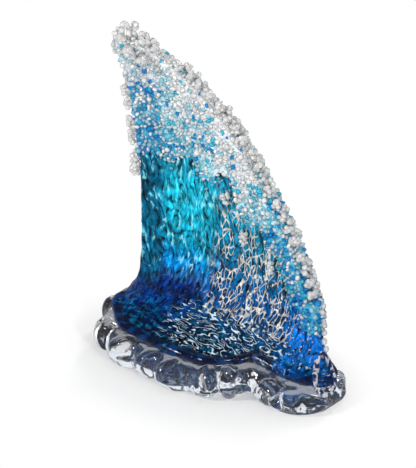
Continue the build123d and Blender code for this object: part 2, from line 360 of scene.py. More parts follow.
# %% The height of the edge, and the way round it
FOOT_LENGTH = 304.0
SHORE_HEIGHT = 29.0
SHORE_SLOPE = math.tan(math.radians(2.6))
SWELL_PLACE = FOOT_LENGTH - 90.0
SWELL_WIDTH = 34.0
SWELL_RISE = 10.0
FRAME_MIDDLE = 142.85
COBALT_HALF = 2.0
OVAL = 0.55
FAR_OUT = 0.25


def shore_height(x):
    """Height of the coloured glass's edge in millimetres, at a place along the sculpture."""
    along = x + FRAME_MIDDLE
    swell = SWELL_RISE * math.exp(-(((along - SWELL_PLACE) / SWELL_WIDTH) ** 2))
    return SHORE_HEIGHT - SHORE_SLOPE * (along - FOOT_LENGTH / 2) + swell


def outward_at(step, steps):
    """The way outwards at one of some equal steps round the foot, which is longer than it is deep."""
    angle = 2 * math.pi * step / steps
    return Vector((math.cos(angle), OVAL * math.sin(angle), 0)).normalized()


def tree_of(*pieces):
    """A search tree of the faces of some meshes."""
    points = []
    faces = []
    for piece in pieces:
        start = len(points)
        points += [v.co.copy() for v in piece.data.vertices]
        faces += [tuple(start + i for i in p.vertices) for p in piece.data.polygons]
    return BVHTree.FromPolygons(points, faces)


print("height of the edge at the left end and the right end (mm):", round(shore_height(-140), 1),
      round(shore_height(140), 1))

# %% The dark roll along the edge of the foot
ROLL_RADIUS = 5.2
ROLL_POINTS = 72
ROLL_OUTSET = 1.2


def edge_ring(count, outset):
    """Points round the edge of the foot at the height of the cobalt layer's middle, a little outside it."""
    cobalt = tree_of(frame["nodes"]["cobalt_layer"], frame["nodes"]["clear_base"])
    centre = Vector((0, 5, 0)) * MM
    ring = []
    for i in range(count):
        outward = outward_at(i, count)
        height = SHORE_HEIGHT * MM
        for attempt in range(3):
            start = centre + outward * FAR_OUT + Vector((0, 0, height))
            hit = cobalt.ray_cast(start, -outward)[0]
            if hit is None:
                break
            height = (shore_height(hit.x / MM) + COBALT_HALF) * MM
        if hit is not None:
            ring.append(hit + outward * outset * MM)
    return ring


def roll_of(name, ring, radius):
    """A closed round roll through a ring of points. Two slow waves make it thicker and thinner on its way."""
    curve = bpy.data.curves.new(name, "CURVE")
    curve.dimensions = "3D"
    curve.bevel_depth = radius * MM
    curve.bevel_resolution = 3
    spline = curve.splines.new("NURBS")
    spline.points.add(len(ring) - 1)
    for k, (point, place) in enumerate(zip(spline.points, ring)):
        point.co = (*place, 1)
        point.radius = 1 + 0.24 * math.sin(k * 0.9) + 0.16 * math.sin(k * 0.37 + 1)
    spline.order_u = 3
    spline.use_cyclic_u = True
    roll = bpy.data.objects.new(name, curve)
    bpy.context.scene.collection.objects.link(roll)
    pick(roll)
    bpy.ops.object.convert(target="MESH")
    return bpy.context.view_layer.objects.active


shore_ring = edge_ring(ROLL_POINTS, ROLL_OUTSET)
print("points on the edge of the foot:", len(shore_ring))

# %% [markdown]
# The wave itself takes the wall, the cobalt layer and the roll. Under them goes a core: the clear foot in
# the real sculpture holds a gather of cobalt glass, and the dark streaks inside its lobes are that core, bent
# by the clear glass. The core is the solid of the base, drawn in to about half its depth and height. The
# skin gets soft ripples, as the real glass has, and they are calmer near the roll.

# %% The wave's body
CORE_CENTRE = (0, 0.006, 0.038)
CORE_SHARES = (0.86, 0.50, 0.50)


def drawn_in(piece, centre, shares):
    """Scales a mesh about a centre."""
    pick(piece)
    bpy.ops.object.mode_set(mode="EDIT")
    bpy.ops.mesh.select_all(action="SELECT")
    bpy.ops.transform.resize(value=shares, center_override=centre)
    bpy.ops.object.mode_set(mode="OBJECT")


body = copy_of("wave_body", "coloured_wall", "cobalt_layer")
core = copy_of("core", "clear_base")
drawn_in(core, CORE_CENTRE, CORE_SHARES)
roll = roll_of("roll", shore_ring, ROLL_RADIUS)
pick(body, core, roll)
bpy.ops.object.join()
melt(body, 1.5, 6)

# %% Ripples on the skin
def rows_of(mesh, what):
    """The places ("co") or the normals ("normal") of a mesh's points, one row each."""
    rows = np.zeros(len(mesh.vertices) * 3)
    mesh.vertices.foreach_get(what, rows)
    return rows.reshape(-1, 3)


def ripple(piece, rise, size, seed, shares=1.0):
    """Moves the points of a piece along their normals by soft noise, taller than it is wide."""
    places = rows_of(piece.data, "co")
    normals = rows_of(piece.data, "normal")
    waves = np.array([noise.noise(Vector((p[0] / size, p[1] / size, p[2] / (2.2 * size) + seed)) / MM)
                      for p in places])
    places += normals * (waves * shares)[:, None] * rise * MM
    piece.data.vertices.foreach_set("co", places.ravel())
    piece.data.update()


def mark_edge(piece, ring):
    """Keeps with each point of a piece its distance from the edge of the foot, in millimetres."""
    corners = rows_of(piece.data, "co")
    line = np.array([p[:] for p in ring])
    line = np.concatenate([line + (np.roll(line, -1, 0) - line) * share for share in (0, 0.25, 0.5, 0.75)])
    nearest = np.full(len(corners), 1.0)
    for point in line:
        nearest = np.minimum(nearest, np.linalg.norm(corners - point, axis=1))
    marks = piece.data.attributes.new("edge_distance", "FLOAT", "POINT")
    marks.data.foreach_set("value", (nearest / MM).astype(np.float32))
    return nearest / MM


edge_distances = mark_edge(body, shore_ring)
calm_near_roll = np.clip((edge_distances - 5) / 8, 0.15, 1.0)
ripple(body, 0.9, 7.0, 3.0, calm_near_roll)
print("body box (mm):", [tuple(round(c / MM) for c in body.bound_box[corner]) for corner in (0, 6)])

# %% [markdown]
# The colour of the wall runs in bands. Glassmakers lay strips of coloured glass side by side and melt them
# on, and silver in some of them reacts at their borders and leaves a net of cream lines. The material reads
# how far a point has run down the wall and out over the foot, so the bands bend forward with the glass.

# %% The colours of the wall
NEAR_BLACK = (0.002, 0.004, 0.024)
NAVY = (0.0, 0.012, 0.085)
COBALT = (0.0, 0.028, 0.21)
ROYAL = (0.0, 0.11, 0.46)
BRIGHT_ROYAL = (0.02, 0.22, 0.90)
ROLL_BLUE = (0.0, 0.03, 0.14)
INK_BLUE = (0.0, 0.045, 0.17)
DEEP_BLUE = (0.0, 0.085, 0.29)
DEEP_TEAL = (0.0, 0.12, 0.25)
MID_BLUE = (0.0, 0.23, 0.66)
DARK_TEAL = (0.0, 0.115, 0.22)
AQUA = (0.0, 0.27, 0.43)
BRIGHT_AQUA = (0.01, 0.45, 0.62)
PAINTED_GLINT_AQUA = (0.35, 0.92, 0.98)
CREAM = (0.58, 0.55, 0.46)
PALE_CREAM = (0.80, 0.78, 0.72)
PALE = (0.70, 0.86, 0.95)
LEFT_BANDS = [(0.02, NEAR_BLACK), (0.10, NAVY), (0.17, COBALT), (0.25, NAVY), (0.31, COBALT),
              (0.38, MID_BLUE), (0.46, AQUA), (0.62, BRIGHT_AQUA), (0.78, AQUA), (0.90, DARK_TEAL)]
RIGHT_BANDS = [(0.04, NEAR_BLACK), (0.12, NAVY), (0.20, DEEP_BLUE), (0.27, INK_BLUE), (0.34, DEEP_BLUE),
               (0.48, DEEP_TEAL), (0.64, AQUA), (0.80, DARK_TEAL)]
BAND_LENGTH = 320
print("bands from the foot to the crest, left and right:", len(LEFT_BANDS), len(RIGHT_BANDS))

# %% Bands that bend with the glass
def streaked_glass():
    """The bands of the wall, with the places and the slow warps that the other patterns use too."""
    glass = Finish("streaked_glass", IOR=1.5, Specular_IOR_Level=0.20, Coat_Roughness=0.04)
    x, y, z = glass.place()
    run = z + y
    drift = glass.cloud(glass.vector(x / 26, run / 60), 2.0) - 0.5
    wander = glass.cloud(glass.vector(x / 11, run / 20, 5.0), 2.0) - 0.5
    bent = run + drift * 40 + wander * 22
    sideways = x + drift * 24 + wander * 16
    left_bands = glass.ramp(bent / BAND_LENGTH, LEFT_BANDS)
    right_bands = glass.ramp(bent / BAND_LENGTH, RIGHT_BANDS)
    colour = glass.mix(glass.step(sideways, -42, -14), left_bands, right_bands)
    colour = glass.mix(glass.step(sideways, 74, 98), colour, ROYAL)
    teal_patches = glass.step(glass.cloud(glass.vector(x / 12, run / 6, 3.0), 2.0), 0.46, 0.60)
    colour = glass.mix(teal_patches * (1 - glass.step(run, 45, 80)) * 0.75, colour, DEEP_TEAL)
    column = (1 - glass.step(sideways, -90, -76)) * glass.step(run, 70, 110)
    return glass, glass.mix(column, colour, DARK_TEAL), x, y, z, run, sideways, wander


glass, colour, x, y, z, run, sideways, wander = streaked_glass()
print("wall material nodes after the bands:", len(glass.tree.nodes))

# %% Tall cells, folds and painted glints
def tall_cells(glass, x, run, wander):
    """A net of tall cells: distance from the edges and from each heart, and a random grey for each cell."""
    places = glass.vector((x + wander * 10) / 4.7, (run + wander * 14) / 11.5)
    return glass.cells(places, "DISTANCE_TO_EDGE"), glass.cells(places), glass.cells(places, "F1", "Color")


def marbled(glass, x, run, wander, across, along, turn, lines):
    """Thin flowing lines: the contours of a warped cloud, drawn out across and along."""
    cloud = glass.cloud(glass.vector((x + wander * 6) / across, (run + wander * 8) / along, turn), 1.0, 0.40)
    level = (cloud * lines).maths("FRACT")
    return (level - 0.5).maths("ABSOLUTE")


edges, hearts, greys = tall_cells(glass, x, run, wander)
fine = glass.cloud(glass.vector((x + wander * 8) / 3.4, (run + wander * 14) / 13, 4.0), 3.0, 0.6)
folds = glass.step(marbled(glass, x, run, wander, 15, 48, 2.0, 9), 0.06, 0.30)
sharp = glass.step(fine, 0.38, 0.60)
colour = glass.shade(colour, (0.06 + sharp * 0.85 + folds * 0.70) * (1.40 - hearts * 0.7))
patches = glass.step(glass.cloud(glass.vector(x / 13, run / 24, 7.0), 2.0), 0.38, 0.56)
colour = glass.shade(colour, (0.62 + patches * 0.46) * (0.55 + greys * 0.9))
# Painted highlights: pale aqua glints, painted into the colour along streams in the aqua band.
streams = glass.step(glass.cloud(glass.vector(x / 9, run / 28, 8.0)), 0.44, 0.58)
glints = glass.step(fine, 0.53, 0.63) * streams
in_aqua = (1 - glass.step(sideways, -30, -8)) * glass.step(run, 92, 130)
colour = glass.mix(glints * in_aqua * 0.8, colour, PAINTED_GLINT_AQUA)
print("wall material nodes after the glints:", len(glass.tree.nodes))

# %% The cream net on the face
on_face = glass.between(sideways, (-34, -4), (76, 104)) * glass.between(run, (58, 80), (205, 250))
patchy = glass.step(glass.cloud(glass.vector(x / 10, run / 22, 2.0), 3.0), 0.38, 0.58)
thick = 0.03 + 0.20 * glass.cloud(glass.vector(x / 6, run / 9, 6.0))
net = (1 - glass.step(edges / thick, 0.36, 0.72)) * glass.step(on_face * patchy, 0.05, 0.70)
strands = glass.step(glass.cloud(glass.vector(x / 7, run / 9, 15.0)), 0.42, 0.62)
colour = glass.mix(net * (0.80 + strands * 0.18), colour, glass.mix(strands, CREAM, PALE_CREAM))
print("wall material nodes after the net:", len(glass.tree.nodes))

# %% The pale ripples on the foot
ripple_edges = marbled(glass, x, run + x * 0.15, wander, 24, 11, 5.0, 7)
on_foot = glass.between(run, (-4, 14), (62, 92)) * glass.between(x, (-70, -16), (72, 104))
shreds = glass.step(glass.cloud(glass.vector(x / 9, run / 6, 9.0), 3.0), 0.36, 0.56)
waves = (1 - glass.step(ripple_edges / thick, 0.60, 1.15)) * glass.step(on_foot * shreds, 0.25, 0.65)
colour = glass.shade(colour, 1 - on_foot * 0.30)
colour = glass.mix(waves * 0.95, colour, PALE)
print("wall material nodes after the ripples:", len(glass.tree.nodes))

# %% The dark roll, and the core under it
edge = glass.node("ShaderNodeAttribute", {"attribute_name": "edge_distance"}, output="Fac")
over_roll = 1 - glass.step(edge + wander * 13, 6.4, 8.2)
roll_patches = glass.step(glass.cloud(glass.vector(x / 12, y / 12, z / 6), 1.0), 0.48, 0.62)
colour = glass.mix(over_roll * 0.96, colour, glass.mix(roll_patches, NEAR_BLACK, ROLL_BLUE))
below = (1 - glass.step(z, 20, 27)) * glass.step(edge, 4, 7)
inner = glass.ramp(glass.cloud(glass.vector(x / 9, y / 9, z / 6), 2.0), [
    (0.42, NAVY), (0.50, COBALT), (0.56, MID_BLUE), (0.66, PALE)])
colour = glass.mix(below, colour, inner)
print("wall material nodes after the roll:", len(glass.tree.nodes))

# %% Sparks, flecks, gloss and relief
sparks = glass.step(glass.cloud(glass.vector(x / 5, run / 6, 12.0), 3.0), 0.60, 0.70)
sparks = sparks * glass.step(sideways, 70, 96) * (1 - glass.step(run, 50, 90))
colour = glass.mix(sparks * 0.6, colour, BRIGHT_ROYAL)
flecks = glass.step(glass.cloud(glass.vector(x / 3.2, run / 6, 14.0), 2.0), 0.62, 0.68)
flecks = flecks * glass.step(x, -10, 30) * (1 - glass.step(run, 150, 200)) * (1 - over_roll)
glass.feed("Base Color", glass.mix(flecks * 0.6, colour, PALE))
glass.feed("Coat Weight", over_roll * 0.4)
glass.feed("Roughness", 0.05 + 0.10 * glass.cloud(glass.vector(x / 18, run / 30, 1.0)))
relief = glass.cloud(glass.vector(x / 4, run / 15, 3.0), 3.0) + (1 - glass.step(edges, 0.0, 0.3)) * -0.35
relief = relief - (1 - glass.step(ripple_edges, 0.0, 0.3)) * on_foot * 0.4
glass.relief(relief * (1 - over_roll * 0.85), 2.6)
finish_piece(body, glass)
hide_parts("coloured_wall", "cobalt_layer")
print("wall material nodes:", len(glass.tree.nodes))

# %% [markdown]
# The foot is clear glass with a faint blue in it, pressed out into lobes while it was soft. A soft pillow of
# glass goes into each lobe, and one long one makes the tongue at the low end. They are melted into one skin
# with the solids of the rim and of the base, because clear glass shows every join inside it as a dark line.
# A little relief on the skin stands for the tool marks and bends the light.

# %% The finish of the clear foot
CLEAR_WHITE = (1.0, 1.0, 1.0)
CLEAR_BLUE = (0.74, 0.83, 0.98)
# The warm grey is a painted reflection on the top shelf of the foot.
SHELF_REFLECTION_GREY = (0.60, 0.52, 0.49)


def clear_glass():
    glass = Finish("clear_glass", Transmission_Weight=0.98, IOR=1.45)
    x, y, z = glass.place()
    tint = glass.mix(glass.cloud(glass.vector(x / 30, y / 30, z / 30)), CLEAR_BLUE, CLEAR_WHITE)
    # Painted reflection: the top shelf of the foot, 23 to 44 mm up, is tinted half way to the warm grey it
    # mirrors.
    shelf_reflection = glass.between(z, (23, 28), (40, 44))
    glass.feed("Base Color", glass.mix(shelf_reflection * 0.5, tint, SHELF_REFLECTION_GREY))
    glass.feed("Roughness", 0.02 * glass.cloud(glass.vector(x / 12, y / 12, z / 12)))
    glass.relief(glass.cloud(glass.vector(x / 9, y / 9, z / 12), 1.0), 0.38)
    return glass


foot_finish = clear_glass()
print("nodes of the clear glass:", len(foot_finish.tree.nodes))

# %% Pillows in the lobes
RIMS = ("rim_left", "rim_front", "rim_right", "rim_back")
LOBE_HEIGHT = 12
LOBE_STEPS = 240
LOBE_NEIGHBOURS = 4
SHORTEST_LOBE = 8
TONGUE_CENTRE = (128, -12, 11)
TONGUE_SIZES = (30, 13, 12)
TONGUE_TURN = math.radians(36)


def lobe_rows():
    """How far the rim reaches past the base all the way round, with the rim's place and the way out."""
    rims = tree_of(*(frame["nodes"][name] for name in RIMS))
    base = tree_of(frame["nodes"]["clear_base"])
    rows = []
    for i in range(LOBE_STEPS):
        outward = outward_at(i, LOBE_STEPS)
        start = Vector((0, 5, LOBE_HEIGHT)) * MM + outward * FAR_OUT
        rim = rims.ray_cast(start, -outward)[0]
        edge = base.ray_cast(start, -outward)[0]
        if rim is None or edge is None:
            rows.append((0.0, start, outward))
        else:
            rows.append(((rim - edge).length, rim, outward))
    return rows


def pillow(centre, turn, radius, shares):
    """A sphere, drawn out to its three shares and turned."""
    bpy.ops.object.select_all(action="DESELECT")
    bpy.ops.mesh.primitive_uv_sphere_add(segments=24, ring_count=12, radius=radius, location=centre,
                                         rotation=(0, 0, turn), scale=shares)
    bpy.ops.object.transform_apply(location=True, rotation=True, scale=True)
    return bpy.context.active_object


def lobe_pillows():
    """A soft pillow of glass in each lobe of the rim, so that the lobes swell between their pinches."""
    rows = lobe_rows()
    pillows = []
    for i in range(LOBE_STEPS):
        near = [rows[(i + k) % LOBE_STEPS][0] for k in range(-LOBE_NEIGHBOURS, LOBE_NEIGHBOURS + 1)]
        reach, rim, outward = rows[i]
        if reach < SHORTEST_LOBE * MM or reach < max(near) or near.index(reach) != LOBE_NEIGHBOURS:
            continue
        height = shore_height(rim.x / MM)
        centre = rim - outward * 0.62 * reach
        centre.z = height * 0.50 * MM
        shares = (0.64 * reach, 11 * MM, 0.52 * height * MM)
        pillows.append(pillow(centre, math.atan2(outward.y, outward.x), 1, shares))
    return pillows


lobes = lobe_pillows()
lobes.append(pillow(Vector(TONGUE_CENTRE) * MM, TONGUE_TURN, MM, TONGUE_SIZES))
print("pillows in the lobes:", len(lobes))

# %% The clear foot
def stand(piece):
    """Presses the points of a piece that hang below the table up to it."""
    for point in piece.data.vertices:
        point.co.z = max(point.co.z, 0.0)


foot = copy_of("clear_foot", "clear_base", "rim_left", "rim_front", "rim_right", "rim_back")
pick(foot, *lobes)
bpy.ops.object.join()
melt(foot, 1.3, 16)
ripple(foot, 0.5, 15.0, 1.0)
stand(foot)
finish_piece(foot, foot_finish)
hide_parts("clear_base", "rim_left", "rim_front", "rim_right", "rim_back")
print("lowest point of the foot (mm):", round(min(v.co.z for v in foot.data.vertices) / MM, 3))

# %% [markdown]
# The foam is crushed glass that was rolled on hot. Each grain is a small uneven bead, rounded by the heat but
# not melted flat. Thousands of them would take long by hand, so one bead is modelled and copied in one go,
# each copy drawn out and turned its own way. The places are spread over the foam's own surface so that no two
# are closer than a set pitch.

# %% One bead
def one_bead():
    """A cube, cut once and pressed round: the corners and faces of one bead of radius 1."""
    bpy.ops.mesh.primitive_cube_add(size=2)
    bead = bpy.context.active_object
    bpy.ops.object.mode_set(mode="EDIT")
    bpy.ops.mesh.subdivide(number_cuts=1)
    bpy.ops.transform.tosphere(value=1.0)
    bpy.ops.object.mode_set(mode="OBJECT")
    corners = np.array([v.co[:] for v in bead.data.vertices])
    corners /= np.linalg.norm(corners, axis=1)[:, None]
    faces = np.array([p.vertices[:] for p in bead.data.polygons])
    bpy.data.objects.remove(bead)
    return corners, faces


BEAD_CORNERS, BEAD_FACES = one_bead()
print("faces of one bead:", len(BEAD_FACES))

# %% Many beads in one mesh
def turns(count, random):
    """Random turns, as one matrix each."""
    quaternions = random.normal(size=(count, 4))
    quaternions /= np.linalg.norm(quaternions, axis=1)[:, None]
    w, i, j, k = quaternions.T
    return np.array([[1 - 2 * (j * j + k * k), 2 * (i * j - w * k), 2 * (i * k + w * j)],
                     [2 * (i * j + w * k), 1 - 2 * (i * i + k * k), 2 * (j * k - w * i)],
                     [2 * (i * k - w * j), 2 * (j * k + w * i), 1 - 2 * (i * i + j * j)]]).transpose(2, 0, 1)


def beads_at(name, places, radii, random, squash=0.52):
    """One object of many beads, each a little uneven and turned its own way."""
    count = len(places)
    shares = 1 + random.uniform(-squash, squash, size=(count, 1, 3))
    shapes = BEAD_CORNERS[None] * shares * radii[:, None, None]
    shapes = np.einsum("nij,nvj->nvi", turns(count, random), shapes) + places[:, None]
    faces = BEAD_FACES[None] + (np.arange(count) * len(BEAD_CORNERS))[:, None, None]
    mesh = bpy.data.meshes.new(name)
    mesh.vertices.add(count * len(BEAD_CORNERS))
    mesh.vertices.foreach_set("co", shapes.ravel())
    mesh.loops.add(faces.size)
    mesh.loops.foreach_set("vertex_index", faces.ravel())
    mesh.polygons.add(count * len(BEAD_FACES))
    mesh.polygons.foreach_set("loop_start", np.arange(0, faces.size, 4))
    mesh.update(calc_edges=True)
    mesh.validate()
    piece = bpy.data.objects.new(name, mesh)
    bpy.context.scene.collection.objects.link(piece)
    pick(piece)
    bpy.ops.object.shade_smooth()
    print(name, "beads:", count)
    return piece


# %% Places on a surface
TRIES_PER_PLACE = 6.0


def spread_on(mesh, pitch, random):
    """Places on a mesh and the way outwards there, none closer together than the pitch in millimetres."""
    mesh.calc_loop_triangles()
    triangles = np.zeros(len(mesh.loop_triangles) * 3, dtype=int)
    mesh.loop_triangles.foreach_get("vertices", triangles)
    a, b, c = rows_of(mesh, "co")[triangles.reshape(-1, 3)].transpose(1, 0, 2)
    across = np.cross(b - a, c - a)
    areas = np.linalg.norm(across, axis=1) / 2
    outwards = across / (2 * areas[:, None] + 1e-15)
    tries = int(areas.sum() / (pitch * MM) ** 2 * TRIES_PER_PLACE)
    chosen = random.choice(len(areas), size=tries, p=areas / areas.sum())
    u, v = random.uniform(size=(2, tries))
    over = u + v > 1
    u[over], v[over] = 1 - u[over], 1 - v[over]
    places = a[chosen] + (b - a)[chosen] * u[:, None] + (c - a)[chosen] * v[:, None]
    taken = {}
    kept = []
    for index, place in enumerate(places):
        cell = tuple(int(q // (pitch * MM)) for q in place)
        near = [other for i in (-1, 0, 1) for j in (-1, 0, 1) for k in (-1, 0, 1)
                for other in taken.get((cell[0] + i, cell[1] + j, cell[2] + k), ())]
        if all(sum((place - places[other]) ** 2) > (pitch * MM) ** 2 for other in near):
            taken.setdefault(cell, []).append(index)
            kept.append(index)
    print(mesh.name, "tries:", tries, "places:", len(kept))
    return places[kept], outwards[chosen][kept]


# %% [markdown]
# Under the grains the foam is a bed of half-melted glass, milky at the crest and bluer below it, towards the
# low end and at the upper left. It keeps the foam from looking hollow between the grains.

# %% The glass of the foam's bed
CREST_LOW_END = 100.3
CREST_LOW_HEIGHT = 90
CREST_SLOPE = 1.2533
CREST_BULGE = 22
CREST_MIDDLE = 6
CREST_HALF = 94
BED_DYE = (0.02, 0.38, 0.64)
UPPER_BLUE = (0.0, 0.20, 0.48)
BED_COLOURS = [(0.0, (0.86, 0.87, 0.89)), (0.40, (0.80, 0.88, 0.92)), (0.62, (0.40, 0.80, 0.90)),
               (0.85, (0.05, 0.50, 0.68)), (1.0, (0.01, 0.18, 0.44))]


def depth_below_crest(x, z):
    """How far a place is below the crest, in millimetres, for numbers and for shader values alike."""
    along = (x - CREST_MIDDLE) / CREST_HALF
    straight = CREST_LOW_HEIGHT + CREST_SLOPE * (CREST_LOW_END - x)
    return straight + CREST_BULGE - CREST_BULGE * along * along - z


def foam_bed_glass():
    glass = Finish("foam_bed_glass", IOR=1.45, Coat_Weight=0.5, Coat_Roughness=0.1)
    x, y, z = glass.place()
    lumps = glass.cloud(glass.vector(x / 9, y / 9, z / 9), 3.0)
    level = depth_below_crest(x, z) / 110 + (lumps - 0.5) * 0.55 + glass.step(x, -10, 80) * 0.95
    chips = glass.cells(glass.vector(x / 5, y / 5, z / 5), "F1", "Color")
    dye = glass.step(chips, 0.52, 0.60) * glass.step(level, 0.10, 0.55)
    colour = glass.mix(dye * 0.7, glass.ramp(level, BED_COLOURS), BED_DYE)
    upper_left = (1 - glass.step(x, -92, -74)) * glass.step(lumps, 0.40, 0.56) * (1 - glass.step(z, 285, 308))
    colour = glass.mix(upper_left * 0.8, colour, UPPER_BLUE)
    colour = glass.shade(colour, 0.65 + 0.7 * glass.cloud(glass.vector(x / 2.5, y / 2.5, z / 2.5), 2.0))
    glass.feed("Base Color", colour)
    glass.feed("Roughness", 0.25 + 0.3 * lumps)
    glass.relief(glass.cells(glass.vector(x / 3, y / 3, z / 3)), 0.9, 0.8)
    return glass


bed = copy_of("foam_bed", "foam_crest")
melt(bed, 1.6, 4)
finish_piece(bed, foam_bed_glass())
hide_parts("foam_crest")

# %% [markdown]
# A grain of clear glass is brightest in its middle and dark at its edge, where it bends the light most. Fully
# clear grains would show that only with very many rays. Here the colour darkens where a point is seen nearly
# edge-on, and the grains are only half clear, so thousands of them stay quick to render.

# %% The glasses of the grains
GRAIN_WHITE = (1.0, 1.0, 1.0)


def grain_glass(name, heart, edge, through, roughness, rim=0.18, gloss=0.3):
    """A glass for grains: pale where it is looked through, with painted shade at its edge and in a faint
    ring.
    """
    glass = Finish(name, Transmission_Weight=through, IOR=1.25, Coat_Weight=gloss)
    x, y, z = glass.place()
    edgewise = glass.node("ShaderNodeLayerWeight", {}, {"Blend": 0.5}, "Facing")
    # Painted shade: the colour turns to the edge colour where the grain is seen edge-on, and darkens a little
    # in a ring inside that.
    colour = glass.mix(glass.step(edgewise, rim, rim + 0.54), heart, edge)
    ring = glass.between(edgewise, (0.22, 0.36), (0.42, 0.56))
    colour = glass.mix(ring * 0.28, colour, edge)
    glass.feed("Base Color", glass.shade(colour, 0.7 + 0.6 * glass.cloud(glass.vector(x / 4, y / 4, z / 4))))
    glass.feed("Roughness", roughness + 0.06 * glass.cloud(glass.vector(x / 2, y / 2, z / 2)))
    return glass


# The second colour of each glass is the painted shade at the edges of its grains.
grain_finishes = {
    "clear_grains": grain_glass("clear_grain_glass", GRAIN_WHITE, (0.46, 0.50, 0.54), 0.50, 0.02),
    "white_grains": grain_glass("white_grain_glass", GRAIN_WHITE, (0.56, 0.54, 0.53), 0.25, 0.04),
    "pale_aqua_grains": grain_glass("pale_aqua_grain_glass", (0.60, 0.92, 0.98), (0.10, 0.38, 0.52), 0.60,
                                    0.03),
    "aqua_grains": grain_glass("aqua_grain_glass", (0.08, 0.70, 0.92), (0.0, 0.22, 0.38), 0.50, 0.03),
    "blue_grains": grain_glass("blue_grain_glass", (0.02, 0.38, 0.84), (0.0, 0.08, 0.32), 0.50, 0.03),
}
# The clear beads are white with a brown painted shade at their edges, under a strong gloss.
bead_finish = grain_glass("bead_glass", GRAIN_WHITE, (0.26, 0.20, 0.17), 0.50, 0.0, 0.55, 0.9)
print("glasses of the grains:", list(grain_finishes))

# %% The grains of the foam
GRAIN_PITCH = 3.4
GRAIN_RADII = (1.7, 2.8)
KINDS = ("white_grains", "clear_grains", "pale_aqua_grains", "aqua_grains", "blue_grains")


def foam_grains():
    """Spreads the grains on the bed and shares them out among the glasses, bluer away from the crest."""
    random = np.random.default_rng(11)
    places, outwards = spread_on(bed.data, GRAIN_PITCH, random)
    radii = random.uniform(*GRAIN_RADII, size=len(places))
    seats = places + outwards * radii[:, None] * 0.25 * MM
    x, y, z = (places / MM).T
    lumps = np.array([noise.noise(Vector(place / MM / 17)) for place in places])
    level = depth_below_crest(x, z) / 100 + lumps * 0.55 + np.clip((x - 10) / 80, 0, 1) * 0.9
    luck = random.uniform(size=len(places))
    azure_here = (x < -84) & (z > 225) & (z < 300) & (lumps > -0.2)
    shares = np.stack([0.26 - 0.06 * level, 0.44 - 0.18 * level, 0.12 + 0.18 * level, 0.03 + 0.18 * level,
                       0.01 + 0.05 * level + 0.35 * azure_here + 0.22 * (x > 40)])
    shares[:2] *= 1 - 0.45 * np.clip((x - 30) / 40, 0, 1)
    shares = np.clip(shares, 0.03, 1.0)
    bounds = np.cumsum(shares, axis=0) / shares.sum(axis=0)
    order = (luck > bounds).sum(axis=0)
    kinds = np.array(KINDS)[np.minimum(order, len(KINDS) - 1)]
    for kind, finish in grain_finishes.items():
        chosen = kinds == kind
        grains = beads_at(kind, seats[chosen], radii[chosen] * MM, random)
        finish_piece(grains, finish)


foam_grains()

# %% [markdown]
# The foam has no sharp lower edge. Single grains rolled on below it and stuck to the wall, more of them close
# to the foam than far from it. The distance from each place on the wall to the foam's bed decides that.

# %% Stray grains below the foam
STRAY_PITCH = 3.6
STRAY_RADII = (1.2, 2.2)
STRAY_REACH = 16
STRAY_FADE = 5.5
STRAY_KINDS = ("clear_grains", "pale_aqua_grains", "aqua_grains")
OUT_OF_REACH = 0.03


def stray_grains():
    random = np.random.default_rng(17)
    places, outwards = spread_on(body.data, STRAY_PITCH, random)
    foam = tree_of(bed)
    far = np.array([(foam.find_nearest(Vector(p), OUT_OF_REACH)[3] or OUT_OF_REACH) / MM for p in places])
    lumps = np.array([noise.noise(Vector(p / MM / 9)) for p in places])
    luck = random.uniform(size=len(places))
    near = (far < STRAY_REACH) & (luck < np.exp(-far / STRAY_FADE) * (1.0 + lumps))
    radii = random.uniform(*STRAY_RADII, size=len(places))
    seats = places + outwards * radii[:, None] * 0.2 * MM
    kinds = random.choice(STRAY_KINDS, size=len(places))
    for kind in STRAY_KINDS:
        chosen = near & (kinds == kind)
        grains = beads_at("stray_" + kind, seats[chosen], radii[chosen] * MM, random)
        finish_piece(grains, grain_finishes[kind])


stray_grains()

# %% [markdown]
# Larger clear beads stand on the crest and the tip, and run down the left edge and the face in drips. They
# were dropped on one by one, so they lie where the solids have them, and each cluster has its own range of
# sizes. They are big enough to show their corners, so they get one level of subdivision.

# %% Clusters of clear beads
def round_off(beads):
    """Makes the beads rounder by one level of subdivision."""
    smooth = beads.modifiers.new("round", "SUBSURF")
    smooth.levels = 1
    smooth.render_levels = 1
    pick(beads)
    bpy.ops.object.modifier_apply(modifier="round")


def cluster(name, node, pitch, low, high, seed, inset=0.6):
    """Clear beads on one of the solids, between two radii, sunk into it by a share of the radius."""
    random = np.random.default_rng(seed)
    places, outwards = spread_on(frame["nodes"][node].data, pitch, random)
    radii = random.uniform(low, high, size=len(places)) * MM
    seats = places - outwards * radii[:, None] * inset
    beads = beads_at(name, seats, radii, random, 0.18)
    round_off(beads)
    finish_piece(beads, bead_finish)
    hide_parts(node)


for number in range(1, 6):
    cluster("crest_cluster_" + str(number), "crest_beads_" + str(number), 5.6, 2.5, 4.1, 20 + number)
for number in range(1, 4):
    cluster("left_drip_beads_" + str(number), "left_drip_" + str(number), 4.4, 2.6, 3.8, 30 + number, 0.2)
cluster("tip_lumps", "tip_cluster", 5.4, 2.8, 4.8, 41)
cluster("face_drip_beads", "face_drips", 4.4, 2.2, 3.2, 42)

# %% [markdown]
# At the low end a thread of clear glass was laid down in a loop and left to run over the edge. It is a closed
# curve with a round bevel, thicker in some places than in others. It stands for the solid loop, and its
# points are laid on the foot and the body where they are seen, just in front of the surface.

# %% Places on the surface that the camera sees
to_the_right = ahead.cross(Vector((0, 0, 1))).normalized()


